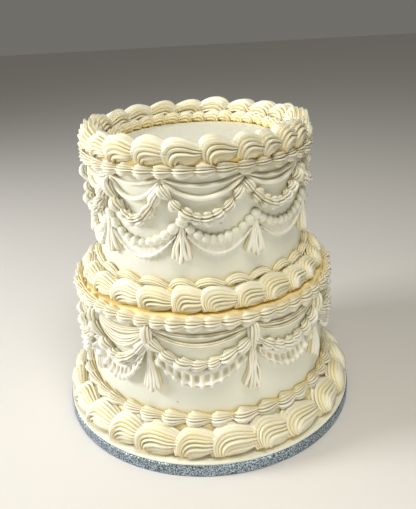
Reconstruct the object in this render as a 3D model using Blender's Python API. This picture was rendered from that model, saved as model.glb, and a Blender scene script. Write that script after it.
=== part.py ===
"""Two-tier round buttercream cake with over-piped shells, swags, ruffles and tassels, on its iced board.

Lengths are in metres and angles in degrees. +Z is up, the origin is the centre of the board's underside,
and angle 0 is the cake's front, which faces -Y. Angles grow to the right as the front is seen.
"""

import math
import random
from collections import namedtuple

import bmesh
import bpy
from mathutils import Vector

Tier = namedtuple("Tier", "name radius foot edge")
Shell = namedtuple("Shell", "count front tall")
Border = namedtuple("Border", "count foot tall proud")
Swag = namedtuple("Swag", "hook middle lean")

# Board, icing on the board and the two iced tiers.
BOARD_RADIUS = 0.1524
BOARD_THICK = 0.012
BOARD_ICING = 0.0022
LOWER_RADIUS = 0.1228
LOWER_HEIGHT = 0.1337
UPPER_RADIUS = 0.1009
UPPER_HEIGHT = 0.1272
EDGE_ROUND = 0.004
ROUND_STEPS = 48
GAP = 0.0003

BOARD_TOP = BOARD_THICK + GAP + BOARD_ICING
LOWER_FOOT = BOARD_TOP + GAP
LEDGE = LOWER_FOOT + LOWER_HEIGHT
UPPER_FOOT = LEDGE + GAP
LOWER = Tier("lower_tier", LOWER_RADIUS, LOWER_FOOT, LEDGE)
UPPER = Tier("upper_tier", UPPER_RADIUS, UPPER_FOOT, UPPER_FOOT + UPPER_HEIGHT)

# The big shells: how many, the angles of the middles of the front ones, set by hand, and how tall they are.
# The others are spread evenly round the back.
RIM = Shell(22, [-56.0, -40.5, -24.8, -9.3, 7.9, 22.1, 34.2, 46.2, 58.0], 0.0210)
ON_LEDGE = Shell(25, [-56.6, -41.4, -25.9, -10.4, 2.4, 16.4, 29.5, 43.9, 56.8], 0.0195)
ON_BOARD = Shell(24, [-53.5, -38.9, -26.0, -10.6, 3.3, 19.2, 32.7, 51.0], 0.0265)
RIM_SHELL_HALF = 0.0125
RIM_SHELL_INSET = 0.0035
LEDGE_SHELL_INSET = 0.0008
BASE_SHELL_INSET = 0.0024
WALL_SHOULDER = 0.92

# The small shells on the flat top, and those on the tiers' sides, which stand proud of the wall.
RIM_INNER = Border(33, UPPER.edge + GAP, 0.0095, 0.0085)
UNDER_RIM = Border(38, UPPER.edge - 0.0130, 0.0127, 0.0102)
UNDER_LEDGE = Border(49, LOWER.edge - 0.0128, 0.0136, 0.0085)
OVER_BASE = Border(36, BOARD_TOP + ON_BOARD.tall * WALL_SHOULDER + 2 * GAP, 0.0125, 0.0085)
SCROLLS = Border(25, LOWER.edge + ON_LEDGE.tall * WALL_SHOULDER + 2 * GAP, 0.0085, 0.0055)

# The hooks that the swags hang from: the front ones by hand, and the others evenly round the back.
BAYS = 10
UPPER_HOOKS = [-47.5, -17.3, 22.1, 59.4]
BEAD_HOOKS = [-50.5, -8.9, 27.0, 66.5]
LOWER_HOOKS = [-55.0, -24.5, 18.5, 55.0]

# The swags, measured down from their tier's top edge: how low they are at a hook and at the middle of a
# bay, and how much lower they sag on the left side of the cake, or higher on the right.
UPPER_STRING_SHORT = Swag(0.0150, 0.0185, 0.0010)
UPPER_STRING_LONG = Swag(0.0188, 0.0290, 0.0020)
UPPER_GARLAND = Swag(0.0240, 0.0445, 0.0060)
BEAD_GARLAND = Swag(0.0490, 0.0665, 0.0065)
LOWER_STRING_SHORT = Swag(0.0152, 0.0195, 0.0010)
LOWER_STRING_LONG = Swag(0.0190, 0.0285, 0.0020)
LOWER_GARLAND = Swag(0.0245, 0.0460, 0.0070)
STRING_HALF_WIDTH = 0.0013
STRING_PROUD = 0.0028
STRING_STEPS = 6
BEADS_IN_A_BAY = 6

# The ruffles below the garlands, and the tassels' tops and hems, measured down from the tier's edge.
RUFFLE_BELOW = 0.0051
RUFFLE_START = 0.13
RUFFLE_STEPS = 6
RUFFLE_TOP_PROUD = 0.0020
UPPER_FLARES = (0.0042, 0.0056)
LOWER_FLARES = (0.0062, 0.0082)
UPPER_RUFFLE_WIDTH = 0.0110
LOWER_RUFFLE_WIDTH = 0.0150
UPPER_TASSEL = (0.0542, 0.0875)
LOWER_TASSEL = (0.0335, 0.0800)

# Buttercream and board colours.
WHITE_CREAM = (0.86, 0.82, 0.68)
YELLOW_CREAM = (0.88, 0.78, 0.50)
SILVER_FOIL = (0.62, 0.66, 0.70)


def clear_scene():
    for thing in list(bpy.data.objects):
        bpy.data.objects.remove(thing)


def material(name, colour, roughness, metallic=0.0):
    made = bpy.data.materials.get(name)
    if made is None:
        made = bpy.data.materials.new(name)
        made.use_nodes = True
        shader = made.node_tree.nodes["Principled BSDF"]
        shader.inputs["Base Color"].default_value = (*colour, 1.0)
        shader.inputs["Roughness"].default_value = roughness
        shader.inputs["Metallic"].default_value = metallic
    return made


def white_buttercream():
    return material("white_buttercream", WHITE_CREAM, 0.55)


def yellow_buttercream():
    return material("yellow_buttercream", YELLOW_CREAM, 0.55)


def silver_board():
    return material("silver_board", SILVER_FOIL, 0.35, 0.9)


def add_object(name, shape, finish):
    """Turns a bmesh into a named object with smooth round faces and crisp edges."""
    bmesh.ops.recalc_face_normals(shape, faces=shape.faces)
    mesh = bpy.data.meshes.new(name)
    shape.to_mesh(mesh)
    shape.free()
    mesh.materials.append(finish)
    mesh.shade_smooth()
    mesh.set_sharp_from_angle(angle=math.radians(40))
    made = bpy.data.objects.new(name, mesh)
    bpy.context.scene.collection.objects.link(made)
    return made


def on_cake(angle, radius, height):
    """A point at this angle from the front, this far from the axis and this high."""
    turn = math.radians(angle)
    return Vector((radius * math.sin(turn), -radius * math.cos(turn), height))


def turned(name, outline, finish):
    """A solid of revolution. The outline's (radius, height) points run up its outer side."""
    shape = bmesh.new()
    points = [shape.verts.new((radius, 0.0, height)) for radius, height in outline]
    edges = [shape.edges.new(pair) for pair in zip(points, points[1:])]
    bmesh.ops.spin(
        shape, geom=points + edges, cent=(0, 0, 0), axis=(0, 0, 1),
        angle=math.tau, steps=ROUND_STEPS, use_merge=True,
    )
    bmesh.ops.remove_doubles(shape, verts=shape.verts, dist=1e-6)
    bmesh.ops.holes_fill(shape, edges=shape.edges, sides=0)
    return add_object(name, shape, finish)


def skinned(name, sections, closed, finish):
    """A solid through a row of sections with equal numbers of points, round a ring or with two flat ends."""
    shape = bmesh.new()
    rings = [[shape.verts.new(point) for point in section] for section in sections]
    following = rings[1:] + rings[:1] if closed else rings[1:]
    for ring, after in zip(rings, following):
        for k in range(len(ring)):
            across = (k + 1) % len(ring)
            shape.faces.new((ring[k], ring[across], after[across], after[k]))
    if not closed:
        shape.faces.new(rings[0])
        shape.faces.new(rings[-1])
    return add_object(name, shape, finish)


def iced_tier(tier):
    """One tier: straight sides, a sharp foot and a softly rounded top edge."""
    corner = EDGE_ROUND * (1 - math.sqrt(0.5))
    outline = [
        (tier.radius, tier.foot),
        (tier.radius, tier.edge - EDGE_ROUND),
        (tier.radius - corner, tier.edge - corner),
        (tier.radius - EDGE_ROUND, tier.edge),
    ]
    return turned(tier.name, outline, white_buttercream())


def cake_board():
    """The foil-covered drum, with a small round along both rims."""
    rim = 0.001
    outline = [
        (BOARD_RADIUS - rim, 0.0),
        (BOARD_RADIUS, rim),
        (BOARD_RADIUS, BOARD_THICK - rim),
        (BOARD_RADIUS - rim, BOARD_THICK),
    ]
    return turned("cake_board", outline, silver_board())


def board_icing():
    """The coat of buttercream that covers the board's top out to its rim."""
    bottom = BOARD_THICK + GAP
    outline = [
        (BOARD_RADIUS - 0.0012, bottom),
        (BOARD_RADIUS - 0.0010, bottom + BOARD_ICING * 0.5),
        (BOARD_RADIUS - 0.0025, BOARD_TOP),
    ]
    return turned("board_icing", outline, white_buttercream())


def clear_of_wall(radius, step):
    """The least radius at which chords of this many degrees stay a gap clear of a round wall."""
    return (radius + GAP) / math.cos(math.radians(step / 2)) + GAP


def fluted_arch(groove):
    """A half-round section with three ridges, from its inner foot over to its outer foot."""
    arch = []
    for k in range(7):
        turn = math.pi * k / 6
        reach = groove if k in (2, 4) else 1.0
        arch.append((-math.cos(turn) * reach, math.sin(turn) * reach))
    return arch


def leaning_arch(groove):
    """A fat section with three ridges that leans back on a wall, lower there than at its crown."""
    arch = [(-1.0, 0.0), (-1.0, 0.85)]
    for k in range(4):
        turn = math.radians(124 * (1 - k / 3))
        reach = 1.0 if k % 2 else groove
        arch.append((math.cos(turn) * reach, 0.5 + 0.5 * math.sin(turn) * reach))
    arch.append((0.84, 0.0))
    return arch


def whole_round(front, count):
    """The angles set by hand at the front, then the rest of the count evenly round the back."""
    left = count - len(front) + 1
    step = (front[0] + 360 - front[-1]) / left
    return front + [front[-1] + step * k for k in range(1, left)]


def with_next(angles):
    """Pairs of each angle and the one after it, round to the first."""
    return list(zip(angles, angles[1:] + [angles[0] + 360]))


def seams(middles):
    """Where each shell starts: halfway from the middle of the last shell to its own."""
    return [(here + after) / 2 for here, after in with_next(middles)]


def uneven_round(count, draw):
    """Evenly spaced angles, each a little off its place."""
    step = 360 / count
    return [step * (k + draw.uniform(-0.06, 0.06)) for k in range(count)]


# A shell's stages: a share of the way to the next shell, and the shell's size there. It is small where the
# last tail ends, full at the head, then thinner to its own tail.
BIG_SHELL_STAGES = [(0.0, 0.58), (0.12, 0.88), (0.42, 1.0), (0.74, 0.84)]
SMALL_SHELL_STAGES = [(0.0, 0.55), (0.30, 1.0)]
WIDEST_STAGE = 0.35


def standing_border(name, section, inner, outer, foot, height, angles, stages, draw, pinned=0.5):
    """A border of shells that stand on a flat top and run into each other. A thin stage keeps its place at
    the pinned share of the way from the inner side to the outer: 0 keeps its back against a wall."""
    half_width = (outer - inner) / 2
    anchor = inner + (outer - inner) * pinned
    sections = []
    for here, after in with_next(angles):
        fullness = draw.uniform(0.93, 1.0)
        for share, size in stages:
            angle = here + (after - here) * share
            full = size * fullness
            narrow = min(1.0, 0.30 + 0.75 * full)
            sections.append([
                on_cake(
                    angle,
                    anchor + (inner + (x + 1) * half_width - anchor) * narrow,
                    foot + y * height * full,
                )
                for x, y in section
            ])
    return skinned(name, sections, True, yellow_buttercream())


def rim_shells():
    """The tall shells that stand round the cake's top edge and lean out over it."""
    middle = UPPER.radius - RIM_SHELL_INSET
    return standing_border(
        "rim_shells", fluted_arch(0.86), middle - RIM_SHELL_HALF, middle + RIM_SHELL_HALF, UPPER.edge + GAP,
        RIM.tall, seams(whole_round(RIM.front, RIM.count)), BIG_SHELL_STAGES, random.Random(11),
    )


def rim_inner_shells():
    """The small shells on the flat top, along the inner foot of the tall ones."""
    draw = random.Random(12)
    section = [(-1.0, 0.0), (-0.75, 0.80), (0.5, 1.0), (1.0, 0.0)]
    outer = UPPER.radius - RIM_SHELL_INSET - RIM_SHELL_HALF - 2 * GAP
    return standing_border(
        "rim_inner_shells", section, outer - RIM_INNER.proud, outer, RIM_INNER.foot, RIM_INNER.tall,
        uneven_round(RIM_INNER.count, draw), SMALL_SHELL_STAGES, draw,
    )


def ledge_shells():
    """The big shells that fill the ledge between the two tiers, with their backs up the wall."""
    inner = clear_of_wall(UPPER.radius, 360 / ON_LEDGE.count * WIDEST_STAGE)
    return standing_border(
        "ledge_shells", leaning_arch(0.88), inner, LOWER.radius - LEDGE_SHELL_INSET, LOWER.edge + GAP,
        ON_LEDGE.tall, seams(whole_round(ON_LEDGE.front, ON_LEDGE.count)), BIG_SHELL_STAGES,
        random.Random(13), 0.0,
    )


def base_shells():
    """The biggest shells, on the iced board round the foot of the lower tier."""
    inner = clear_of_wall(LOWER.radius, 360 / ON_BOARD.count * WIDEST_STAGE)
    return standing_border(
        "base_shells", leaning_arch(0.88), inner, BOARD_RADIUS - BASE_SHELL_INSET, BOARD_TOP + GAP,
        ON_BOARD.tall, seams(whole_round(ON_BOARD.front, ON_BOARD.count)), BIG_SHELL_STAGES,
        random.Random(14), 0.0,
    )


def wall_border(name, radius, border, finish, seed):
    """A border of small shells piped on a tier's side."""
    draw = random.Random(seed)
    back = clear_of_wall(radius, 360 / border.count * 0.8)
    half = border.tall / 2
    middle = border.foot + half
    sections = []
    for here, after in with_next(uneven_round(border.count, draw)):
        fullness = draw.uniform(0.92, 1.0)
        for share, size in SMALL_SHELL_STAGES:
            angle = here + (after - here) * share
            full = (0.3 + 0.7 * size) * fullness
            front = back + border.proud * full
            sections.append([
                on_cake(angle, back, middle - half * full),
                on_cake(angle, front - border.proud * 0.12, middle - half * full * 0.45),
                on_cake(angle, front, middle + half * full * 0.45),
                on_cake(angle, back, middle + half * full),
            ])
    return skinned(name, sections, True, finish)


def wall_borders():
    """The four rows of small shells on the tiers' sides."""
    wall_border("upper_border", UPPER.radius, UNDER_RIM, white_buttercream(), 21)
    wall_border("lower_border", LOWER.radius, UNDER_LEDGE, white_buttercream(), 22)
    wall_border("base_border", LOWER.radius, OVER_BASE, white_buttercream(), 23)
    wall_border("ledge_scrolls", UPPER.radius, SCROLLS, yellow_buttercream(), 24)


def hanging_height(tier, swag, along, angle):
    """How high a swag is, a share of the way along its bay, at this angle round the cake."""
    sag = swag.middle - swag.hook - swag.lean * math.sin(math.radians(angle))
    return tier.edge - swag.hook - sag * 4 * along * (1 - along)


def steepness(tier, swag, along, bay):
    """How much longer the swag is than its level run there. Bay is the bay's width in degrees."""
    slope = (swag.middle - swag.hook) * 4 * (1 - 2 * along) / (math.radians(bay) * tier.radius)
    return math.hypot(1.0, slope)


def swag_ring(name, tier, swag, hooks, stages, half_width, proud):
    """A line of icing that hangs in one curve in each bay. Stages are (share of the bay, size there)."""
    back = clear_of_wall(tier.radius, 360 / BAYS / len(stages) * 1.5)
    sections = []
    for here, after in with_next(whole_round(hooks, BAYS)):
        for along, size in stages:
            angle = here + (after - here) * along
            height = hanging_height(tier, swag, along, angle)
            reach = half_width * size
            if along > 0:
                reach *= steepness(tier, swag, along, after - here)
            sections.append([
                on_cake(angle, back, height - reach),
                on_cake(angle, back + proud * size, height),
                on_cake(angle, back, height + reach),
            ])
    return skinned(name, sections, True, white_buttercream())


def plain_stages(count):
    """A plain string's stages: even steps along the bay, all one size."""
    return [(k / count, 1.0) for k in range(count)]


def beaded_stages(beads):
    """A beaded line's stages: a neck, then the bead that swells after it."""
    stages = []
    for k in range(beads):
        stages.append((k / beads, 0.45))
        stages.append(((k + 0.5) / beads, 1.0))
    return stages


def drop_strings():
    """The fine strings that hang in two curves in each bay of both tiers."""
    rows = [
        ("upper_string_short", UPPER, UPPER_STRING_SHORT, UPPER_HOOKS),
        ("upper_string_long", UPPER, UPPER_STRING_LONG, UPPER_HOOKS),
        ("lower_string_short", LOWER, LOWER_STRING_SHORT, LOWER_HOOKS),
        ("lower_string_long", LOWER, LOWER_STRING_LONG, LOWER_HOOKS),
    ]
    for name, tier, swag, hooks in rows:
        swag_ring(name, tier, swag, hooks, plain_stages(STRING_STEPS), STRING_HALF_WIDTH, STRING_PROUD)


def garlands():
    """The garlands of little shells below the strings, and the row of round beads below those."""
    rows = [
        ("upper_garland", UPPER, UPPER_GARLAND, UPPER_HOOKS, 0.0038, 0.0075),
        ("upper_bead_garland", UPPER, BEAD_GARLAND, BEAD_HOOKS, 0.0032, 0.0062),
        ("lower_garland", LOWER, LOWER_GARLAND, LOWER_HOOKS, 0.0044, 0.0096),
    ]
    for name, tier, swag, hooks, half_width, proud in rows:
        swag_ring(name, tier, swag, hooks, beaded_stages(BEADS_IN_A_BAY), half_width, proud)


def ruffle(name, tier, swag, here, after, width, flares):
    """A pleated crescent that hangs under one bay of a garland, narrow at its ends and flared at its hem."""
    back = clear_of_wall(tier.radius, (after - here) / RUFFLE_STEPS)
    sections = []
    for k in range(RUFFLE_STEPS + 1):
        along = RUFFLE_START + (1 - 2 * RUFFLE_START) * k / RUFFLE_STEPS
        angle = here + (after - here) * along
        below = RUFFLE_BELOW * steepness(tier, swag, along, after - here)
        top = hanging_height(tier, swag, along, angle) - below
        bottom = top - width * (0.30 + 0.70 * math.sin(math.pi * along))
        sections.append([
            on_cake(angle, back, bottom),
            on_cake(angle, back + flares[k % 2], bottom),
            on_cake(angle, back + RUFFLE_TOP_PROUD, top),
            on_cake(angle, back, top),
        ])
    return skinned(name, sections, False, white_buttercream())


def ruffles():
    """One ruffle under each bay of the beads above and of the garland below."""
    rows = [
        ("upper_ruffle", UPPER, BEAD_GARLAND, BEAD_HOOKS, UPPER_RUFFLE_WIDTH, UPPER_FLARES),
        ("lower_ruffle", LOWER, LOWER_GARLAND, LOWER_HOOKS, LOWER_RUFFLE_WIDTH, LOWER_FLARES),
    ]
    for name, tier, swag, hooks, width, flares in rows:
        for k, (here, after) in enumerate(with_next(whole_round(hooks, BAYS))):
            ruffle(f"{name}_{k + 1:02d}", tier, swag, here, after, width, flares)


def tassel(name, tier, drop, angle, half_width, proud):
    """A fluted tassel: narrow where it is tied, then widening to a full hem."""
    top, hem = tier.edge - drop[0], tier.edge - drop[1]
    back = clear_of_wall(tier.radius, 2 * math.degrees(half_width / tier.radius))
    section = [(-1.0, 0.0), (-0.75, 0.75), (-0.3, 0.72), (0.0, 1.0), (0.3, 0.72), (0.75, 0.75), (1.0, 0.0)]
    sections = []
    for share, wide, thick in [(0.0, 0.30, 0.55), (0.45, 0.58, 0.85), (1.0, 1.0, 1.0)]:
        sections.append([
            on_cake(
                angle + math.degrees(x * wide * half_width / tier.radius),
                back + y * thick * proud,
                top + (hem - top) * share,
            )
            for x, y in section
        ])
    return skinned(name, sections, False, white_buttercream())


def tassels():
    """One tassel under each hook of the beads above and of the garland below."""
    rows = [
        ("upper_tassel", UPPER, UPPER_TASSEL, BEAD_HOOKS, 0.0068, 0.0066),
        ("lower_tassel", LOWER, LOWER_TASSEL, LOWER_HOOKS, 0.0074, 0.0078),
    ]
    for name, tier, drop, hooks, half_width, proud in rows:
        for k, angle in enumerate(whole_round(hooks, BAYS)):
            tassel(f"{name}_{k + 1:02d}", tier, drop, angle, half_width, proud)


def main():
    clear_scene()
    cake_board()
    board_icing()
    iced_tier(LOWER)
    iced_tier(UPPER)
    base_shells()
    ledge_shells()
    rim_shells()
    rim_inner_shells()
    wall_borders()
    drop_strings()
    garlands()
    ruffles()
    tassels()


main()
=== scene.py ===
# %% [markdown]
# # A piped two-tier buttercream cake
#
# The real thing is two round cakes under a smooth coat of buttercream, stacked on an iced board. Every
# frill on it is one squeeze of a piping bag: a fluted ribbon of cream that swells, bends and tapers off.
# So this lesson builds one good squeeze, and then repeats it at places set one by one, as a decorator does.
#
# The plain solids of the cake are loaded first. They fix where everything stands and how big it is, and
# each piece made below takes the place of one or more of them.

import math
import random
from collections import namedtuple

import bmesh
import bpy
import numpy as np
from mathutils import Matrix, Vector, noise


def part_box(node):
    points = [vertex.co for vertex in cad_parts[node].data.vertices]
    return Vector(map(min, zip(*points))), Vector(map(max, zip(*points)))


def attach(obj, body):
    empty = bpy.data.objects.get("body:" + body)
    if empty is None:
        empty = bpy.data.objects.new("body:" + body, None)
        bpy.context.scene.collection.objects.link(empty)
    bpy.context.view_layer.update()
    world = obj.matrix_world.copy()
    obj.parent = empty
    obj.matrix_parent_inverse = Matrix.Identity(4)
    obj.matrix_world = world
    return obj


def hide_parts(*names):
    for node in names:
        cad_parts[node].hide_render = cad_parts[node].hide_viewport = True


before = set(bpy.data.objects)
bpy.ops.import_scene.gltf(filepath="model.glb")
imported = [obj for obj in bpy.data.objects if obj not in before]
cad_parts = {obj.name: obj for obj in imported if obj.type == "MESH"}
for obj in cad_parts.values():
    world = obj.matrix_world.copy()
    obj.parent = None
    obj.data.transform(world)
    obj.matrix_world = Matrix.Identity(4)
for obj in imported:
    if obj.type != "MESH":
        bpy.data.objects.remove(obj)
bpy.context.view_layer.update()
MM = 0.001

# %% [markdown]
# ## Sizes
#
# A tier needs three numbers: its radius, the height of its foot and the height of its top edge. They are
# read from the solids, so the piping can't drift away from the cake. Angles are counted in degrees from
# the front of the cake, and grow to the right. A decorator's spacing is never even, so the places that
# face the front are set one by one, and a rule spreads the others round the back.

# %% Tiers and board
Tier = namedtuple("Tier", "radius foot edge")


def measured(node):
    """A round solid's radius, lowest and highest point."""
    low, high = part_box(node)
    return Tier((high.x - low.x) / 2, low.z, high.z)


LOWER = measured("lower_tier")
UPPER = measured("upper_tier")
BOARD = measured("cake_board")
BOARD_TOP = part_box("board_icing")[1].z
print("lower", LOWER, "upper", UPPER, "board", BOARD)

# %% Places round the cake
def whole_round(total, front):
    """The angles given at the front, then the rest of the total spread evenly round the back."""
    left = total - len(front) + 1
    step = (front[0] + 360 - front[-1]) / left
    return front + [front[-1] + step * k for k in range(1, left)]


def with_next(angles):
    """Each angle with the one after it, round to the first again."""
    return list(zip(angles, angles[1:] + [angles[0] + 360]))


print("four hooks, two of them set by hand:", whole_round(4, [-20.0, 30.0]))

# %% [markdown]
# ## Shader sums
#
# Buttercream is mostly one colour, with shade painted into it: darker and warmer in the grooves, paler on
# the ridges. Such shifts are sums of a few masks. Node trees built by hand get long, so a small class
# wraps a socket and lets the sums be written as Python.

# %% A socket that can be added and multiplied
class Wire:
    """One output socket of a material's nodes."""

    def __init__(self, tree, socket=None):
        self.tree = tree
        self.socket = socket

    def node(self, kind, settings, inputs, output=0):
        """Adds a node, settings first, then the values or links of its sockets."""
        made = self.tree.nodes.new(kind)
        for name, value in settings.items():
            setattr(made, name, value)
        for name, value in inputs.items():
            if isinstance(value, Wire):
                self.tree.links.new(value.socket, made.inputs[name])
            else:
                made.inputs[name].default_value = value
        return Wire(self.tree, made.outputs[output])

    def sum(self, operation, first, second):
        return self.node("ShaderNodeMath", {"operation": operation}, {0: first, 1: second})

    def __add__(self, other):
        return self.sum("ADD", self, other)

    __radd__ = __add__

    def __sub__(self, other):
        return self.sum("SUBTRACT", self, other)

    def __rsub__(self, other):
        return self.sum("SUBTRACT", other, self)

    def __mul__(self, other):
        return self.sum("MULTIPLY", self, other)

    __rmul__ = __mul__

    def held(self):
        """The value kept between 0 and 1."""
        return self.node("ShaderNodeClamp", {}, {"Value": self})

    def between(self, low, high):
        """A mix of two colours by this mask."""
        return self.node("ShaderNodeMix", {"data_type": "RGBA"}, {0: self, 6: low, 7: high}, 2)


def new_finish(name):
    """A material, the start of its sums, and its shader."""
    made = bpy.data.materials.new(name)
    made.use_nodes = True
    return made, Wire(made.node_tree), made.node_tree.nodes["Principled BSDF"]


def plug(wire, shader, socket):
    wire.tree.links.new(wire.socket, shader.inputs[socket])


def cloud(wire, size, detail=2.0):
    """Soft noise on the object's own coordinates, with blotches about this many metres across."""
    place = wire.node("ShaderNodeTexCoord", {}, {}, "Object")
    return wire.node("ShaderNodeTexNoise", {}, {"Vector": place, "Scale": 1 / size, "Detail": detail})


print("shader sums ready")

# %% [markdown]
# ## Buttercream
#
# Butter and sugar scatter light, so the shader gets a little subsurface, the same everywhere. The colour
# follows two marks that the piping leaves on its mesh: **crease**, which is 1 at the bottom of a groove,
# and **nook**, which is 1 where the cream meets the cake. Shade is painted into the grooves as a darker,
# warmer colour, and a deeper yellow is painted into the nooks for the light that bounces about in there.
# A third mark, **tone**, makes each squeeze a touch lighter or darker than the next.

# %% Three creams from one recipe
# ridge is the cream's own colour; groove is painted shade and bounce light, nook painted yellow bounce light
Cream = namedtuple("Cream", "ridge groove nook")
NICK_SIZE = 0.0014
NICK_COLOUR = (0.46, 0.38, 0.22, 1.0)


def mark(wire, name):
    """A number that the piping left on its mesh."""
    return wire.node("ShaderNodeAttribute", {"attribute_name": name}, {}, "Fac")


def nick(wire, place, size):
    """A mask that is 1 at a place on the object and fades to 0 over this many metres."""
    here = wire.node("ShaderNodeTexCoord", {}, {}, "Object")
    away = wire.node("ShaderNodeVectorMath", {"operation": "DISTANCE"}, {0: here, 1: place}, "Value")
    return (1.4 - away * (1.4 / size)).held()


def buttercream(name, cream, crumb, nicks=()):
    """Cream in its own colour on its ridges, with painted shade in its grooves and a painted yellow glow
    of bounce light where it meets the cake.
    """
    made, wire, shader = new_finish(name)
    crease, nook, tone = (mark(wire, which) for which in ("crease", "nook", "tone"))
    blotch = cloud(wire, 0.016) - 0.5
    # painted shade in the grooves, plus random blotches and a tone for each squeeze
    groove_shade_and_tone = (crease * (crease * 0.6 + 0.4) + blotch * 0.26 + tone * 0.12).held()
    colour = groove_shade_and_tone.between((*cream.ridge, 1.0), (*cream.groove, 1.0))
    # painted yellow bounce light where the cream meets the cake
    colour = (nook * 0.85 + blotch * 0.2).held().between(colour, (*cream.nook, 1.0))
    grain = cloud(wire, 0.0016, 3.0) * 0.6 + cloud(wire, 0.0052) * 0.9
    for place in nicks:
        hole = nick(wire, place, NICK_SIZE)
        colour = (hole * 0.55).between(colour, NICK_COLOUR)
        grain = grain - hole * 1.5
    plug(colour, shader, "Base Color")
    plug(cloud(wire, 0.005) * 0.16 + 0.36, shader, "Roughness")
    relief = wire.node("ShaderNodeBump", {}, {"Height": grain, "Distance": crumb, "Strength": 0.7})
    plug(relief, shader, "Normal")
    shader.inputs["Subsurface Weight"].default_value = 0.10
    shader.inputs["Subsurface Radius"].default_value = (0.9, 0.7, 0.35)
    shader.inputs["Subsurface Scale"].default_value = 0.0010
    shader.inputs["Specular IOR Level"].default_value = 0.42
    return made


# groove colours are painted shade in grooves, nook colours painted yellow bounce light; the wall cream's
# nook colour also colours the lower tier's top
WALL = Cream(ridge=(0.848, 0.856, 0.748), groove=(0.815, 0.795, 0.60), nook=(0.94, 0.75, 0.29))
WHITE = Cream(ridge=(0.98, 0.965, 0.87), groove=(0.42, 0.33, 0.06), nook=(0.84, 0.64, 0.18))
YELLOW = Cream(ridge=(0.97, 0.95, 0.80), groove=(0.68, 0.52, 0.12), nook=(0.93, 0.65, 0.12))
NICKS = [(-0.0300, -0.1191, 0.0590), (0.0172, -0.0994, 0.2231), (0.0249, -0.0978, 0.2002)]
WALL_CREAM = buttercream("smooth_buttercream", WALL, crumb=0.00042, nicks=NICKS)
WHITE_CREAM = buttercream("white_buttercream", WHITE, crumb=0.00014)
YELLOW_CREAM = buttercream("yellow_buttercream", YELLOW, crumb=0.00014)
print("creams:", WALL_CREAM.name, WHITE_CREAM.name, YELLOW_CREAM.name)

# %% [markdown]
# ## One squeeze of the bag
#
# A star tip pushes out a rod whose section is a star with soft points. While it comes out, the hand moves
# along a path and presses harder or softer, so the star grows and shrinks. In Blender that is a loft: a
# circle of vertices is drawn in to a star, and then its end face is extruded again and again, each time
# carried to the next station on the path. The end face of the step before would stay behind inside, so it
# is deleted, and the squeeze stays one closed skin. A bevelled curve wouldn't give this control of width
# and thickness.

# %% Stations on a smooth path
def eased(rows, steps):
    """More rows of numbers, on a smooth curve through the given ones."""
    rows = np.array(rows, float)
    padded = np.vstack([2 * rows[0] - rows[1], rows, 2 * rows[-1] - rows[-2]])
    made = []
    for a, b, c, d in zip(padded, padded[1:], padded[2:], padded[3:]):
        for t in np.arange(steps) / steps:
            bend = (2 * a - 5 * b + 4 * c - d) * t * t + (3 * b - a - 3 * c + d) * t**3
            made.append(0.5 * (2 * b + (c - a) * t + bend))
    return made + [rows[-1]]


def carrier(centre, reach, side):
    """The matrix that carries a unit star to a station, given its two half axes."""
    matrix = Matrix((reach, side, reach.cross(side).normalized())).transposed().to_4x4()
    matrix.translation = centre
    return matrix


def carriers(stations, across):
    """Carriers square to a path of stations. A station is its centre, half its thickness and half its width,
    and the width lies in the direction across."""
    made = []
    last = len(stations) - 1
    for k, (centre, thick, wide) in enumerate(stations):
        ahead = (stations[min(k + 1, last)][0] - stations[max(k - 1, 0)][0]).normalized()
        inward = across.cross(ahead).normalized()
        made.append(carrier(centre, inward * thick, ahead.cross(inward) * wide))
    return made


print("stations from 3 rows:", len(eased([(0, 0), (1, 2), (3, 3)], 4)))

# %% The squeeze
STAR = [0.0, 0.30, 1.0, 0.30]
FULL_GROOVE = 0.2
FRILL = [1.8, 1.45, 1.22, 1.1, 1.0]


def squeeze(places, teeth, draw, groove, ragged=0.0):
    """One closed ribbon of cream, its star carried from place to place. With no groove it is smooth. Full
    grooves are deepest where it starts, because the ridges of a squeeze stand apart there, and close to
    their own depth over the first few stations. Shallow ones keep the depth of their start."""
    icing = bmesh.new()
    crease = icing.verts.layers.float.new("crease")
    shade = icing.verts.layers.float.new("tone")
    tone = draw.uniform(-0.6, 0.6)
    full = min(1.0, groove / FULL_GROOVE)
    ridges = [(draw.uniform(-0.25, 0.25) * groove, draw.uniform(-ragged, ragged)) for _ in range(teeth)]
    bmesh.ops.create_circle(icing, cap_ends=True, segments=teeth * len(STAR), radius=1.0)
    for k, vert in enumerate(icing.verts):
        share = STAR[k % len(STAR)]
        stronger, early = ridges[(k + 1) // len(STAR) % teeth]
        vert.co *= 1 - share * groove * FRILL[0] + (1 - share) * stronger
        vert.co.z = early * (1 - share)
        vert[crease] = share * full
        vert[shade] = tone
    bmesh.ops.transform(icing, matrix=places[0], verts=icing.verts)
    end = icing.faces[:]
    for ring, (here, there) in enumerate(zip(places, places[1:])):
        passed = end if ring else []
        end = bmesh.ops.extrude_face_region(icing, geom=end)["geom"]
        bmesh.ops.delete(icing, geom=passed, context="FACES_ONLY")
        moved = [part for part in end if isinstance(part, bmesh.types.BMVert)]
        end = [part for part in end if isinstance(part, bmesh.types.BMFace)]
        bmesh.ops.transform(icing, matrix=there @ here.inverted(), verts=moved)
        if groove >= FULL_GROOVE and ring + 1 < len(FRILL):
            closing = (1 - groove * FRILL[ring + 1]) / (1 - groove * FRILL[ring])
            hollows = [vert for vert in moved if vert[crease] == full]
            drawn_in = there @ Matrix.Scale(closing, 4) @ there.inverted()
            bmesh.ops.transform(icing, matrix=drawn_in, verts=hollows)
    if icing.calc_volume(signed=True) < 0:
        bmesh.ops.reverse_faces(icing, faces=icing.faces)
    return icing


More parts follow.
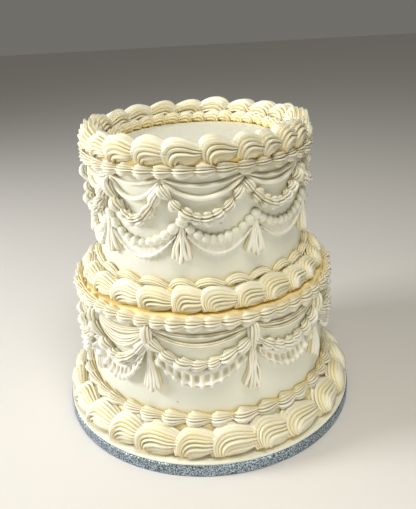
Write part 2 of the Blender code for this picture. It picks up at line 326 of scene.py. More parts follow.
def gathered(name, strokes):
    """One mesh from many squeezes."""
    row = bmesh.new()
    for icing in strokes:
        single = bpy.data.meshes.new("single")
        icing.to_mesh(single)
        icing.free()
        row.from_mesh(single)
        bpy.data.meshes.remove(single)
    mesh = bpy.data.meshes.new(name)
    row.to_mesh(mesh)
    row.free()
    return mesh


sample = squeeze([Matrix.Translation((0, 0, k * MM)) for k in range(4)], 8, random.Random(0), 0.3)
print("a squeeze of 8 ridges and 4 stations:", len(sample.faces), "faces")
sample.free()

# %% [markdown]
# ## A flat strip, rolled round the tier
#
# Piping round a drum is easier to think of on a flat strip: x runs along the wall, z goes up, and the
# strip stands in front of the cake, so -y is the distance from its axis. Rolling turns x into an angle.
# Soft cream that is pushed against the wall or the board spreads flat on it, so the roll also presses
# every point out of the wall and up from the floor, and marks how near it ended to either.

# %% Press and roll
WALL_GAP = 0.0001
FLOOR_GAP = 0.0003
BRINK_RUN = 0.002


def roll_up(mesh, radius, wall, floor=-1.0, nook=0.0012, brink=None, droop=0.0):
    """Presses a strip's mesh against a wall of this radius and a floor of this height, and rolls it up. The
    nook mark fades over the given distance. Past the brink the floor falls away by the droop."""
    flat = np.empty(len(mesh.vertices) * 3)
    mesh.vertices.foreach_get("co", flat)
    x, y, z = flat.reshape(-1, 3).T
    out = np.maximum(-y, wall)
    if brink is not None:
        floor = floor - droop * np.clip((out - brink) / BRINK_RUN, 0, 1)
    height = np.maximum(z, floor)
    turn = x / radius
    rolled = np.column_stack([out * np.sin(turn), -out * np.cos(turn), height])
    mesh.vertices.foreach_set("co", rolled.ravel())
    # the nook mark, which the creams turn into painted yellow bounce light
    near = np.exp(-np.minimum(out - wall, height - floor) / nook)
    mesh.attributes.new("nook", "FLOAT", "POINT").data.foreach_set("value", near)
    return mesh


def on_wall(name, tier, strokes, nook=0.0012):
    """Squeezes as one mesh, pressed on a tier's wall."""
    return roll_up(gathered(name, strokes), tier.radius, tier.radius + WALL_GAP, nook=nook)


def serve(mesh, finish, slot, *nodes):
    """Makes a finished mesh a piece of the cake that stands for these solids."""
    mesh.materials.append(finish)
    mesh.shade_smooth()
    piece = bpy.data.objects.new(mesh.name, mesh)
    bpy.context.scene.collection.objects.link(piece)
    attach(piece, "root")
    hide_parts(*nodes)
    print(piece.name, len(mesh.polygons), "faces")


print("the upper tier unrolls to", round(math.tau * UPPER.radius, 3), "m")

# %% [markdown]
# ## The big shells
#
# Each big shell is a fan. The bag is squeezed hard low on the left, so that the cream wells up over
# itself, and is then drawn over and down to the right, into a tail that the next head covers. A fan is
# written the way it looks on its own plane, in millimetres: for each section, the place of its lower end,
# the place of its upper end, and half its depth. A shell that is sculpted once and copied would look
# stamped, but sections can be stretched and leant anew for every shell. On the rim the plane stands up. On
# the ledge and the board it leans back on the wall.

# %% The two fans
Fan = namedtuple("Fan", "pitch rows")
STANDING = Fan(27.0, [
    (6.0, -2.4, -9.4, -1.0, 8.4),
    (6.0, -2.6, -12.0, 6.4, 10.6),
    (6.4, -2.8, -11.2, 14.0, 11.8),
    (7.0, -2.8, -7.2, 20.2, 12.3),
    (8.0, -2.6, -1.0, 22.8, 12.4),
    (9.2, -2.2, 6.0, 22.4, 12.3),
    (11.0, -1.4, 12.0, 20.2, 11.8),
    (13.4, 0.0, 17.0, 17.4, 10.8),
    (16.2, 2.2, 21.0, 14.6, 9.2),
    (19.4, 4.8, 24.2, 12.4, 7.0),
    (22.8, 7.2, 26.4, 11.2, 4.2),
])
LEANING = Fan(36.0, [
    (6.0, -3.0, -9.4, -1.6, 8.2),
    (6.4, -3.2, -12.0, 6.6, 10.8),
    (7.0, -3.4, -11.6, 15.4, 12.6),
    (8.0, -3.5, -8.0, 23.2, 13.4),
    (9.4, -3.5, -1.6, 28.4, 13.8),
    (11.4, -3.3, 6.0, 29.8, 13.6),
    (14.0, -3.0, 13.2, 29.0, 13.0),
    (17.0, -2.4, 19.8, 27.0, 12.2),
    (20.6, -1.2, 25.6, 24.4, 11.0),
    (24.6, 0.6, 30.4, 21.4, 9.4),
    (28.6, 2.8, 34.4, 18.2, 7.2),
    (32.4, 5.4, 37.4, 15.6, 4.4),
])
ALONG = Vector((1, 0, 0))
OUTWARDS = Vector((0, -1, 0))
FAN_GROOVE = 0.33
FAN_RAGGED = 0.0012
# vector noise starts from the clock, so without a seed every run would wobble in another way
noise.seed_set(1)


def fan(kind, place, tilt, pitch, scale, teeth, draw):
    """One big shell at this place on the strip, its plane tilted this many degrees up from flat."""
    up = Vector((0, math.cos(math.radians(tilt)), math.sin(math.radians(tilt))))
    across = ALONG.cross(up)
    wide = min(1.12, pitch / (kind.pitch * scale * MM)) * scale * draw.uniform(0.94, 1.06) * MM
    tall = scale * draw.uniform(0.90, 1.03) * MM
    lean = draw.uniform(-0.16, 0.16)
    places = []
    for k, (low_x, low_y, high_x, high_y, half) in enumerate(eased(kind.rows, 4)):
        low = ALONG * (low_x + low_y * lean) * wide + up * low_y * tall
        high = ALONG * (high_x + high_y * lean) * wide + up * high_y * tall
        wobble = noise.noise_vector(Vector((k * 0.12, 3.0, place.x * 40))) * 0.5 * MM
        middle = place + (low + high) / 2 + wobble
        places.append(carrier(middle, (high - low) / 2, across * half * scale * MM))
    return squeeze(places, teeth, draw, FAN_GROOVE, FAN_RAGGED * scale)


print("fan stations:", len(eased(STANDING.rows, 4)))

# %% A ring of fans
Band = namedtuple("Band", "out height rise depth")
BAND_SHADE = 0.75


def fan_row(name, kind, shells, roll, out, foot, tilt, scale, teeth, seed, band=None):
    """A ring of fans, one at each angle, as a flat strip. Behind them may lie a smooth band of cream. It
    only shows in the gaps, so all of it gets the painted shade of a groove."""
    draw = random.Random(seed)
    strokes = []
    for here, after in with_next(shells):
        place = Vector((math.radians(here) * roll, -out, foot))
        strokes.append(fan(kind, place, tilt, math.radians(after - here) * out, scale, teeth, draw))
    if band:
        turns = np.radians(np.linspace(-180, 180.5, 121)) * roll
        path = [(Vector((turn, -band.out, band.height)), band.rise, band.depth) for turn in turns]
        strokes.append(squeeze(carriers(path, OUTWARDS), 4, draw, 0.0))
        # the whole band is painted with groove shade
        crease = strokes[-1].verts.layers.float["crease"]
        for vert in strokes[-1].verts:
            vert[crease] = BAND_SHADE
    return gathered(name, strokes)


print("a ring of fans is ready to be piped")

# %% Shells round the rim
FAN_NOOK = 0.0032
RIM_SHELLS = whole_round(22, [-56.0, -40.5, -24.8, -9.3, 7.9, 22.1, 34.2, 46.2, 58.0])
RIM_OUT = UPPER.radius - 0.0035
rim_band = Band(out=UPPER.radius - 0.0010, height=UPPER.edge + 0.0005, rise=0.0040, depth=0.0042)
rim = fan_row(
    "rim_piping", STANDING, RIM_SHELLS, roll=RIM_OUT, out=RIM_OUT, foot=UPPER.edge - 0.001, tilt=93,
    scale=1.0, teeth=16, seed=31, band=rim_band,
)
roll_up(
    rim, RIM_OUT, wall=0.0, floor=UPPER.edge + FLOOR_GAP, nook=FAN_NOOK, brink=UPPER.radius + 0.0002,
    droop=0.0034,
)
serve(rim, YELLOW_CREAM, "yellow_buttercream", "rim_shells")

# %% Shells on the ledge
LEDGE_SHELLS = whole_round(25, [-56.6, -41.4, -25.9, -10.4, 2.4, 16.4, 29.5, 43.9, 56.8])
LEDGE_ROLL = 0.110
LEAN = 51
ledge_band = Band(out=UPPER.radius + 0.0020, height=LOWER.edge + 0.0090, rise=0.0090, depth=0.0052)
ledge = fan_row(
    "ledge_piping", LEANING, LEDGE_SHELLS, roll=LEDGE_ROLL, out=0.1165, foot=LOWER.edge + 0.0020,
    tilt=LEAN, scale=0.77, teeth=18, seed=32, band=ledge_band,
)
roll_up(ledge, LEDGE_ROLL, wall=UPPER.radius + WALL_GAP, floor=LOWER.edge + FLOOR_GAP, nook=FAN_NOOK)
serve(ledge, YELLOW_CREAM, "yellow_buttercream", "ledge_shells")

# %% Shells on the board
BASE_SHELLS = whole_round(24, [-53.5, -38.9, -26.0, -10.6, 3.3, 19.2, 32.7, 51.0])
BASE_ROLL = 0.137
base_band = Band(out=LOWER.radius + 0.0020, height=BOARD_TOP + 0.0150, rise=0.0115, depth=0.0066)
base = fan_row(
    "base_piping", LEANING, BASE_SHELLS, roll=BASE_ROLL, out=0.1432, foot=BOARD_TOP + 0.0030,
    tilt=LEAN, scale=0.99, teeth=20, seed=33, band=base_band,
)
roll_up(base, BASE_ROLL, wall=LOWER.radius + WALL_GAP, floor=BOARD_TOP + FLOOR_GAP, nook=FAN_NOOK)
serve(base, YELLOW_CREAM, "yellow_buttercream", "base_shells")

# %% [markdown]
# ## Rows of small shells
#
# The borders and the shell garlands are the plain shell: a fat head, then a tail under the next head.
# One shell could be copied along a curve, but copies look stamped, and on a swag they wouldn't bend. So
# each is a squeeze of its own. A row only differs in the line that it follows, so it takes a function that
# gives the place of any shell on it, and a level border and a swag use the same code.

# %% A row of shells along any line
LIFT = 0.34
DEPTH = 0.64
RAGGED = 0.0006
SHELL = [
    (0.00, 0.36),
    (0.05, 0.76),
    (0.15, 0.98),
    (0.30, 1.00),
    (0.48, 0.88),
    (0.70, 0.68),
    (0.95, 0.50),
    (1.18, 0.26),
]


def shells_along(line, count, start, half, proud, teeth, draw, uneven=0.10, groove=0.46, profile=SHELL):
    """Small shells along a line, which gives a place on the strip for a number of shells from its start."""
    strokes = []
    for k in range(count):
        size = draw.uniform(1 - uneven, 1 + uneven)
        begin = start + k + draw.uniform(-0.05, 0.05)
        stations = []
        for share, swell in eased(profile, 2):
            place = line(begin + share)
            lifted = place + OUTWARDS * (proud * LIFT * swell * size)
            stations.append((lifted, half * swell * size, proud * DEPTH * swell * size))
        ragged = RAGGED if groove else 0.0
        strokes.append(squeeze(carriers(stations, OUTWARDS), teeth, draw, groove, ragged))
    return strokes


def level(tier, drop, count):
    """A level line round a tier, this far below its edge, that passes this many shells."""
    return lambda k: Vector((math.tau * k / count * tier.radius, -tier.radius, tier.edge - drop))


print("shell stations:", len(eased(SHELL, 2)))

# %% The borders on the tiers' sides
BORDER_NOOK = 0.0032


def border(name, tier, drop, count, half, proud, teeth, seed, node):
    """A level border of small shells on a tier's wall."""
    line = level(tier, drop, count)
    strokes = shells_along(line, count, 0, half, proud, teeth, random.Random(seed))
    serve(on_wall(name, tier, strokes, BORDER_NOOK), WHITE_CREAM, "white_buttercream", node)


BASE_BORDER_MIDDLE = 0.0428
BASE_DROP = LOWER.edge - BASE_BORDER_MIDDLE
border(
    "upper_border_piping", UPPER, drop=0.0060, count=38, half=0.0067, proud=0.0104, teeth=12, seed=41,
    node="upper_border",
)
border(
    "lower_border_piping", LOWER, drop=0.0058, count=49, half=0.0074, proud=0.0096, teeth=11, seed=42,
    node="lower_border",
)
border(
    "base_border_piping", LOWER, drop=BASE_DROP, count=36, half=0.0086, proud=0.0112, teeth=13, seed=43,
    node="base_border",
)

# %% The small fans on the flat top
TOP_RING = 0.0795
TOP_SHELLS = whole_round(33, [0.0])
top_fans = fan_row(
    "rim_inner_piping", STANDING, TOP_SHELLS, roll=TOP_RING, out=TOP_RING, foot=UPPER.edge, tilt=84,
    scale=0.50, teeth=9, seed=44,
)
roll_up(top_fans, TOP_RING, wall=0.0, floor=UPPER.edge + FLOOR_GAP, nook=FAN_NOOK)
serve(top_fans, YELLOW_CREAM, "yellow_buttercream", "rim_inner_shells")

# %% [markdown]
# ## Swags
#
# Strings, garlands and beads all hang between hooks. They could be drawn as curves by hand, but then a
# change of one swag would mean drawing ten again. So a swag is three numbers, measured down from the
# tier's edge: how low it is at a hook, how low in the middle of its bay, and how much lower it sags on
# the left of the cake than at the front. A parabola between the hooks is close to how a soft string of
# cream hangs.

# %% The line of a swag
BAYS = 10
Swag = namedtuple("Swag", "hook middle lean")


def swag_line(tier, swag, here, after, parts=1.0):
    """The line of one bay, from one hook to the next, that passes this many parts."""

    def place(k):
        along = k / parts
        angle = here + (after - here) * along
        sag = swag.middle - swag.hook - swag.lean * math.sin(math.radians(angle))
        drop = swag.hook + sag * 4 * along * (1 - along)
        return Vector((math.radians(angle) * tier.radius, -tier.radius, tier.edge - drop))

    return place


UPPER_HOOKS = whole_round(BAYS, [-47.5, -17.3, 22.1, 59.4])
LOWER_HOOKS = whole_round(BAYS, [-55.0, -24.5, 18.5, 55.0])
print("widths of the lower bays:", [round(after - here) for here, after in with_next(LOWER_HOOKS)])

# %% Strings
SLACK = 0.0012


def string(line, half, proud, teeth, groove, draw):
    """One slim string along a whole bay, thin at its hooks."""
    stations = []
    for along in np.linspace(0, 1, 25):
        size = 0.5 + 0.5 * math.sin(math.pi * along) ** 0.5 if 0 < along < 1 else 0.35
        stations.append((line(along) + OUTWARDS * proud * 0.35 * size, half * size, proud * 0.65 * size))
    return squeeze(carriers(stations, OUTWARDS), teeth, draw, groove)


def strings(name, tier, swag, hooks, half, proud, teeth, groove, seed, node, extra=()):
    """The same string in every bay of a tier, each hung a little differently. The first bay, on the left,
    has extra ones with their middles this much lower."""
    draw = random.Random(seed)
    strokes = []
    for k, (here, after) in enumerate(with_next(hooks)):
        for deeper in [0.0, *extra] if k == 0 else [0.0]:
            hung = swag._replace(middle=swag.middle + deeper + draw.uniform(-SLACK, SLACK))
            strokes.append(string(swag_line(tier, hung, here, after), half, proud, teeth, groove, draw))
    serve(on_wall(name, tier, strokes), WHITE_CREAM, "white_buttercream", node)


SHORT_UPPER = Swag(hook=0.0124, middle=0.0180, lean=0.0010)
LONG_UPPER = Swag(hook=0.0140, middle=0.0284, lean=0.0030)
SHORT_LOWER = Swag(hook=0.0124, middle=0.0188, lean=0.0010)
LONG_LOWER = Swag(hook=0.0142, middle=0.0270, lean=0.0020)
strings(
    "upper_short_strings", UPPER, SHORT_UPPER, UPPER_HOOKS, half=0.0016, proud=0.0040, teeth=3, groove=0.0,
    seed=51, node="upper_string_short",
)
strings(
    "upper_long_strings", UPPER, LONG_UPPER, UPPER_HOOKS, half=0.0021, proud=0.0048, teeth=3, groove=0.0,
    seed=52, node="upper_string_long",
)
strings(
    "lower_short_strings", LOWER, SHORT_LOWER, LOWER_HOOKS, half=0.0022, proud=0.0042, teeth=5, groove=0.20,
    seed=53, node="lower_string_short",
)
strings(
    "lower_long_strings", LOWER, LONG_LOWER, LOWER_HOOKS, half=0.0024, proud=0.0046, teeth=5, groove=0.20,
    seed=54, node="lower_string_long", extra=(-0.0045, 0.0045, 0.0088),
)

# %% Shell garlands
UPPER_SWAG = Swag(hook=0.0192, middle=0.0468, lean=0.0050)
LOWER_SWAG = Swag(hook=0.0240, middle=0.0465, lean=0.0070)
PLUMP = [
    (0.00, 0.30),
    (0.05, 0.72),
    (0.17, 1.00),
    (0.36, 1.00),
    (0.54, 0.72),
    (0.74, 0.42),
    (1.12, 0.26),
]
Tie = namedtuple("Tie", "top length half proud teeth groove")
LOWER_TIE = Tie(top=0.0112, length=0.0250, half=0.0052, proud=0.0116, teeth=8, groove=0.32)


def knot(tier, angle, tie, draw):
    """A short fat shell that hangs down from a hook."""
    side = math.radians(angle) * tier.radius
    stations = []
    for share, swell in eased(SHELL, 2):
        out = tier.radius + tie.proud * LIFT * swell
        place = Vector((side, -out, tier.edge - tie.top - tie.length * share))
        stations.append((place, tie.half * swell, tie.proud * DEPTH * swell))
    return squeeze(carriers(stations, OUTWARDS), tie.teeth, draw, tie.groove, RAGGED)


def garland(name, tier, swag, hooks, counts, half, proud, teeth, profile, seed, node, tie=None):
    """Shells along every bay of a swag, and a knot at each hook if there is a tie. The first bay, on the
    left, has its own count of longer shells that run into a rope."""
    draw = random.Random(seed)
    strokes = []
    for k, (here, after) in enumerate(with_next(hooks)):
        count = counts[0] if k == 0 else counts[1]
        line = swag_line(tier, swag, here, after, count)
        form = SHELL if k == 0 else profile
        strokes += shells_along(
            line, count, 0, half, proud, teeth, draw, uneven=0.12, groove=0.44, profile=form
        )
        if tie:
            strokes.append(knot(tier, here, tie, draw))
    serve(on_wall(name, tier, strokes), WHITE_CREAM, "white_buttercream", node)


garland(
    "upper_garland_piping", UPPER, UPPER_SWAG, UPPER_HOOKS, counts=(7, 8), half=0.0058, proud=0.0104,
    teeth=10, profile=PLUMP, seed=61, node="upper_garland",
)
garland(
    "lower_garland_piping", LOWER, LOWER_SWAG, LOWER_HOOKS, counts=(6, 7), half=0.0059, proud=0.0106,
    teeth=10, profile=SHELL, seed=62, node="lower_garland", tie=LOWER_TIE,
)

# %% Beads
BEAD_HOOKS = whole_round(BAYS, [-50.5, -8.9, 27.0, 66.5])
BEAD_SWAG = Swag(hook=0.0485, middle=0.0668, lean=0.0065)
BEAD = [
    (0.00, 0.40),
    (0.06, 0.74),
    (0.22, 0.98),
    (0.45, 1.00),
    (0.70, 0.82),
    (0.90, 0.56),
    (1.12, 0.30),
]


def bead_garland(name, tier, swag, hooks, count, half, proud, seed, node):
    """Round beads of plain cream along every bay, each run into the next."""
    draw = random.Random(seed)
    strokes = []
    for here, after in with_next(hooks):
        line = swag_line(tier, swag, here, after, count)
        strokes += shells_along(
            line, count, -0.3, half, proud, 4, draw, uneven=0.13, groove=0.0, profile=BEAD
        )
    serve(on_wall(name, tier, strokes), WALL_CREAM, "white_buttercream", node)


bead_garland(
    "upper_bead_piping", UPPER, BEAD_SWAG, BEAD_HOOKS, count=10, half=0.0043, proud=0.0058, seed=63,
    node="upper_bead_garland",
)

# %% [markdown]
# ## Ruffles
#
# A ruffle is a ribbon from a flat tip: one edge sits on the cake and the other stands off it, and the hand
# shakes to throw pleats. A cloth simulation would make folds too, but soft cream keeps the pleats that the
# hand gave it, so they are a formula. A fine grid is the ribbon laid flat. Its points are then moved: down
# from the swag, out towards the hem, and in and out with the pleats. Solidify gives it its thickness.

# %% A ruffle
RUFFLE_START = 0.07
RIBBON_NOOK = 0.0004
Ribbon = namedtuple("Ribbon", "width top flare pleats crest lines hem dots")


def ridge(where, middle, half):
    """A soft ridge, 1 at its middle."""
    return math.exp(-(((where - middle) / half) ** 2))


def ruffle(line, kind, draw):
    """A ribbon below one bay of a swag."""
    ribbon = bmesh.new()
    crease = ribbon.verts.layers.float.new("crease")
    bmesh.ops.create_grid(ribbon, x_segments=kind.pleats * 8, y_segments=16, size=0.5)
    phase = draw.uniform(0, math.tau)
    for vert in ribbon.verts:
        share = RUFFLE_START + (1 - 2 * RUFFLE_START) * (vert.co.x + 0.5)
        fall = 0.5 - vert.co.y
        uneven = share + 0.012 * math.sin(11 * share + phase)
        pleat = abs(math.cos(math.pi * kind.pleats * uneven)) ** 5
        below = min(1.0, max(0.0, fall - 0.22) * 8)
        lines = kind.lines * (ridge(fall, 0.06, 0.055) + ridge(fall, 0.22, 0.05))
        hem = kind.hem * ridge(fall, 0.80, 0.07) + kind.dots * pleat * ridge(fall, 0.97, 0.08)
        out = 0.0008 + kind.flare * fall + kind.crest * pleat * below + lines + hem
        depth = kind.width * (0.35 + 0.65 * math.sin(math.pi * share)) * fall
        depth += kind.dots * 0.3 * pleat * max(0.0, fall - 0.85) * 6
        vert.co = line(share) + OUTWARDS * out + Vector((0, 0, -kind.top - depth))
        # painted shade in the valleys between the pleats
        between = below * (1 - pleat) * (1 - ridge(fall, 0.80, 0.10))
        vert[crease] = 0.7 * between * min(1.0, kind.crest * 900)
    bmesh.ops.recalc_face_normals(ribbon, faces=ribbon.faces)
    bmesh.ops.solidify(ribbon, geom=ribbon.faces, thickness=0.0011)
    if ribbon.calc_volume(signed=True) < 0:
        bmesh.ops.reverse_faces(ribbon, faces=ribbon.faces)
    return ribbon


def ruffles(name, tier, swag, hooks, kind, seed, nodes):
    """One ruffle in every bay."""
    draw = random.Random(seed)
    for k, (here, after) in enumerate(with_next(hooks)):
        ribbon = ruffle(swag_line(tier, swag, here, after), kind, draw)
        mesh = on_wall(f"{name}_{k + 1:02d}", tier, [ribbon], RIBBON_NOOK)
        serve(mesh, WHITE_CREAM, "white_buttercream", f"{nodes}_{k + 1:02d}")


SMOOTH_RIBBON = Ribbon(
    width=0.0122, top=0.0032, flare=0.0010, pleats=15, crest=0.0002, lines=0.0, hem=0.0034, dots=0.0017
)
PLEATED_RIBBON = Ribbon(
    width=0.0162, top=0.0062, flare=0.0040, pleats=12, crest=0.0022, lines=0.0024, hem=0.0028, dots=0.0012
)
ruffles("upper_frill", UPPER, BEAD_SWAG, BEAD_HOOKS, SMOOTH_RIBBON, seed=71, nodes="upper_ruffle")
ruffles("lower_frill", LOWER, LOWER_SWAG, LOWER_HOOKS, PLEATED_RIBBON, seed=72, nodes="lower_ruffle")

# %% [markdown]
# ## Tassels
#
# A tassel is five pulls of a small tip, side by side from one knot. Each starts thin, gets thicker as it
# goes down and ends in a rounded foot, and they spread like the strings of a real tassel. One lump with
# grooves cut in it would look carved, so every strand is a squeeze of its own.

# %% A tassel
TASSEL_NOOK = 0.0016
STRANDS = 5
STRAND = [
    (0.00, 0.34),
    (0.08, 0.60),
    (0.30, 0.74),
    (0.60, 0.92),
    (0.86, 1.12),
    (0.97, 1.00),
    (1.00, 0.55),
]


def tassel(name, tier, angle, top, hem, half, proud, node, draw):
    """A bundle of strands below one hook."""
    strokes = []
    sway = draw.uniform(-0.0016, 0.0016)
    for k in range(STRANDS):
        side = 2 * k / (STRANDS - 1) - 1
        length = (hem - top) * (1 - 0.10 * abs(side)) * draw.uniform(0.92, 1.0)
        thick = half / STRANDS * 1.42 * draw.uniform(0.9, 1.1)
        bow = draw.uniform(-0.0012, 0.0012)
        stations = []
        for share, size in eased(STRAND, 3):
            x = math.radians(angle) * tier.radius + side * half * (0.14 + 0.70 * share**1.4)
            x += sway * share + bow * math.sin(2.4 * math.pi * share)
            out = tier.radius + (proud - thick) * (0.40 + 0.40 * share) * (1 - 0.50 * abs(side) ** 1.5)
            place = Vector((x, -out, tier.edge - top - length * share))
            stations.append((place, thick * size, thick * 1.5 * size))
        strokes.append(squeeze(carriers(stations, OUTWARDS), 3, draw, 0.16))
    serve(on_wall(name, tier, strokes, TASSEL_NOOK), WHITE_CREAM, "white_buttercream", node)


def tassels(name, tier, hooks, top, hem, half, proud, seed, nodes):
    """One tassel at every hook. Its top and hem are measured down from the tier's edge."""
    draw = random.Random(seed)
    for k, angle in enumerate(hooks):
        node = f"{nodes}_{k + 1:02d}"
        tassel(f"{name}_{k + 1:02d}", tier, angle, top, hem, half, proud, node, draw)


tassels(
    "upper_tassel_piping", UPPER, BEAD_HOOKS, top=0.0510, hem=0.0872, half=0.0094, proud=0.0076, seed=81,
    nodes="upper_tassel",
)
tassels(
    "lower_tassel_piping", LOWER, LOWER_HOOKS, top=0.0345, hem=0.0800, half=0.0086, proud=0.0080, seed=82,
    nodes="lower_tassel",
)

# %% [markdown]
# ## Scrolls above the ledge
#
# On top of each ledge shell lies a short ridged rope that arches up the wall and dips to the next one. It
# could be one long wavy rope, but the bag stops and starts at every dip, so each arch is a squeeze of its
# own, and starts under the end of the one before.

# %% Scrolls
SCROLL = [
    (-12.5, -4.6, 1.2),
    (-11.0, -2.2, 2.6),
    (-7.0, 1.2, 3.4),
    (-1.0, 2.8, 3.8),
    (5.0, 1.6, 3.6),
    (10.0, -1.4, 3.1),
    (14.0, -4.0, 2.4),
    (17.0, -5.6, 1.2),
]


def scrolls(name, tier, shells, middle, seed, node):
    """One rope arch over each ledge shell."""
    draw = random.Random(seed)
    strokes = []
    for here, after in with_next(shells):
        wide = math.radians(after - here) * tier.radius / (25 * MM) * draw.uniform(0.88, 1.08)
        arch = draw.uniform(0.75, 1.25)
        fat = draw.uniform(0.95, 1.18)
        stations = []
        for along, rise, half in eased(SCROLL, 3):
            x = math.radians(here) * tier.radius + along * wide * MM
            out = tier.radius + half * fat * 0.75 * MM
            place = Vector((x, -out, middle + rise * arch * MM))
            stations.append((place, half * fat * MM, half * fat * 0.95 * MM))
        strokes.append(squeeze(carriers(stations, OUTWARDS), 8, draw, 0.38, RAGGED))
    serve(on_wall(name, tier, strokes), YELLOW_CREAM, "yellow_buttercream", node)


scroll_low, scroll_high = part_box("ledge_scrolls")
scroll_middle = (scroll_low.z + scroll_high.z) / 2 - 0.0024
scrolls("scroll_piping", UPPER, LEDGE_SHELLS, scroll_middle, seed=91, node="ledge_scrolls")

# %% [markdown]
# ## The coats under the piping
#
# The tiers and the board are turned shapes. A cylinder with a bevel would do for the form, but its wall
# would be one flat strip with no points to move. So each is an outline with rows up its wall, spun once
# round. A scraper leaves a wall that is smooth but not perfect, and the points move by a fraction of a
# millimetre to show it. The lower tier's top is coloured yellow, and a painted yellow glow of bounce
# light from the shells at the tiers' feet fades a little way up the walls.

# %% Turned coats
TURN_STEPS = 180
BOUNCE_GLOW_FADE = 0.013


def turned(name, outline, unevenness, below=-1.0, above=1.0):
    """A solid of revolution from (radius, height) points up its outer side. It is yellow above one height,
    and below another it has painted yellow bounce light that fades out upwards."""
    shape = bmesh.new()
    points = [shape.verts.new((radius, 0.0, height)) for radius, height in outline]
    edges = [shape.edges.new(pair) for pair in zip(points, points[1:])]
    bmesh.ops.spin(
        shape, geom=points + edges, cent=(0, 0, 0), axis=(0, 0, 1), angle=math.tau, steps=TURN_STEPS,
        use_merge=True,
    )
    bmesh.ops.remove_doubles(shape, verts=shape.verts, dist=1e-6)
    bmesh.ops.holes_fill(shape, edges=shape.edges, sides=0)
    bmesh.ops.recalc_face_normals(shape, faces=shape.faces)
    nook = shape.verts.layers.float.new("nook")
    foot = outline[0][1]
    for vert in shape.verts:
        # painted yellow bounce light below one height, fading upwards; above the other the top takes the
        # same yellow
        faded = min(1.0, max(0.0, 1 - (vert.co.z - below) / BOUNCE_GLOW_FADE))
        vert[nook] = 1.0 if vert.co.z > above else faded**2
        if vert.co.z > foot:
            push = noise.noise(vert.co * 22) * unevenness
            flat = Vector((vert.co.x, vert.co.y, 0)).normalized()
            vert.co += flat * push
    mesh = bpy.data.meshes.new(name)
    shape.to_mesh(mesh)
    shape.free()
    return mesh


def rounded(radius, foot, edge, under, over, rows):
    """The outline of a drum, up its wall and round both edges."""
    turns = np.radians([0, 22.5, 45, 67.5, 90])
    low = [(radius - under * (1 - math.sin(a)), foot + under * (1 - math.cos(a))) for a in turns]
    high = [(radius - over * (1 - math.cos(a)), edge - over * (1 - math.sin(a))) for a in turns]
    wall = [(radius, z) for z in np.linspace(foot + under, edge - over, rows + 1)]
    return low + wall[1:-1] + high


UNEVEN_WALL = 0.0002
upper_wall = rounded(*UPPER, under=0.0005, over=0.004, rows=40)
upper_coat = turned("upper_tier_coat", upper_wall, UNEVEN_WALL, below=UPPER.foot + 0.016)
serve(upper_coat, WALL_CREAM, "white_buttercream", "upper_tier")
lower_wall = rounded(*LOWER, under=0.0005, over=0.004, rows=40)
lower_coat = turned(
    "lower_tier_coat", lower_wall, UNEVEN_WALL, below=BASE_BORDER_MIDDLE, above=LOWER.edge - 0.0012
)
serve(lower_coat, WALL_CREAM, "white_buttercream", "lower_tier")
board_edge = rounded(*measured("board_icing"), under=0.0003, over=0.0012, rows=2)
board_coat = turned("board_coat", board_edge, 0.0)
serve(board_coat, WALL_CREAM, "white_buttercream", "board_icing")

# %% [markdown]
# ## The foil board
#
# The drum is covered in embossed silver foil. Foil is a metal, so its colour sits in the reflection and
# not under it. The embossing is a net of small raised cells, and a bump from a cell texture shows the
# same glints without a million little facets. On top of that, glints and reflections are painted into its
# colour as dark and bright blotches.

# %% Foil
made, wire, shader = new_finish("silver_foil")
place = wire.node("ShaderNodeTexCoord", {}, {}, "Object")
cells = wire.node("ShaderNodeTexVoronoi", {"feature": "F1"}, {"Vector": place, "Scale": 420.0}, "Distance")
# painted glints and reflections: blotches from near black to bright silver in the foil's colour
painted_glints = (cloud(wire, 0.0013) * 4.0 - 1.6).held()
plug(painted_glints.between((0.06, 0.09, 0.12, 1.0), (0.62, 0.74, 0.84, 1.0)), shader, "Base Color")
plug(cells * 0.2 + 0.24, shader, "Roughness")
pressed = cells + cloud(wire, 0.003)
relief = wire.node("ShaderNodeBump", {}, {"Height": pressed, "Distance": 0.0007, "Strength": 1.0})
plug(relief, shader, "Normal")
shader.inputs["Metallic"].default_value = 0.9
board = turned("foil_board", rounded(*BOARD, under=0.0012, over=0.0012, rows=4), 0.0)
serve(board, made, "silver_foil", "cake_board")

# %% [markdown]
# ## The camera, the floor and the light
#
# The camera stands where the photograph's did, worked out from the rings of the two tiers and the board.
# One lamp would leave black grooves, and an even sky would flatten the ridges. So a soft light comes from
# the left and grazes them, a second one fills in from above the front, and a weak one stands low in front
# like a white card. The floor is plain and pale.

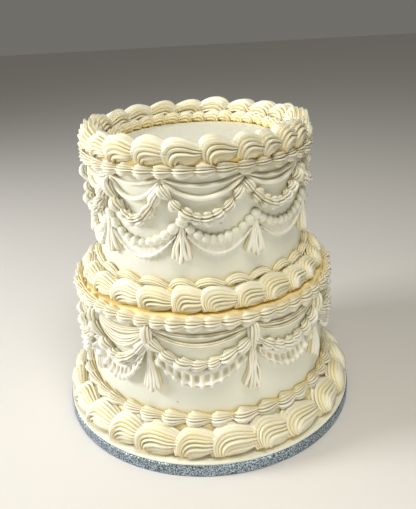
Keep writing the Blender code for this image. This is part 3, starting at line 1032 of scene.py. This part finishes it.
# %% Camera
CAMERA_PLACE = Vector((0.0, -0.5576, 0.3913))
PITCH = math.radians(23.17)
YAW = math.radians(0.62)
ROLL = math.radians(-3.14)
forward = Vector((math.sin(YAW) * math.cos(PITCH), math.cos(YAW) * math.cos(PITCH), -math.sin(PITCH)))
right = Vector((math.cos(YAW), -math.sin(YAW), 0.0))
upward = right.cross(forward)
turned_right = right * math.cos(ROLL) + upward * math.sin(ROLL)
turned_up = upward * math.cos(ROLL) - right * math.sin(ROLL)
camera = bpy.data.objects.new("camera", bpy.data.cameras.new("camera"))
camera.data.lens = 41.3
camera.data.sensor_width = 36.0
facing = Matrix((turned_right, turned_up, -forward)).transposed().to_4x4()
camera.matrix_world = Matrix.Translation(CAMERA_PLACE) @ facing
bpy.context.scene.collection.objects.link(camera)
bpy.context.scene.camera = camera
print("camera at", CAMERA_PLACE)

# %% Floor
floor_shape = bmesh.new()
bmesh.ops.create_grid(floor_shape, x_segments=2, y_segments=2, size=6.0)
floor_mesh = bpy.data.meshes.new("floor")
floor_shape.to_mesh(floor_mesh)
floor_shape.free()
floor_finish, wire, shader = new_finish("pale_floor")
mottle = cloud(wire, 0.3) * 0.3
plug(mottle.between((0.79, 0.77, 0.74, 1.0), (0.82, 0.80, 0.78, 1.0)), shader, "Base Color")
shader.inputs["Roughness"].default_value = 0.8
floor_mesh.materials.append(floor_finish)
floor = bpy.data.objects.new("floor", floor_mesh)
bpy.context.scene.collection.objects.link(floor)
print("floor ready")

# %% Lights
CAKE_MIDDLE = Vector((0, 0, 0.14))


def soft_light(name, place, size, watts, colour):
    """A square area light that faces the middle of the cake, and doesn't show itself."""
    lamp = bpy.data.lights.new(name, "AREA")
    lamp.size = size
    lamp.energy = watts
    lamp.color = colour
    made = bpy.data.objects.new(name, lamp)
    made.location = place
    made.visible_camera = False
    made.rotation_euler = (CAKE_MIDDLE - made.location).to_track_quat("-Z", "Y").to_euler()
    bpy.context.scene.collection.objects.link(made)


soft_light("window", Vector((-1.36, -0.16, 0.70)), size=0.5, watts=19.2, colour=(1.0, 1.0, 1.0))
soft_light("room", Vector((0.12, -0.50, 1.34)), size=0.5, watts=9.4, colour=(1.0, 0.96, 0.86))
soft_light("card", Vector((0.20, -0.42, 0.02)), size=0.3, watts=0.66, colour=(1.0, 0.97, 0.89))
world = bpy.data.worlds.new("studio")
world.use_nodes = True
world.node_tree.nodes["Background"].inputs["Color"].default_value = (0.94, 0.92, 0.82, 1.0)
world.node_tree.nodes["Background"].inputs["Strength"].default_value = 0.17
bpy.context.scene.world = world
bpy.context.scene.view_settings.view_transform = "Standard"
print("lights ready")
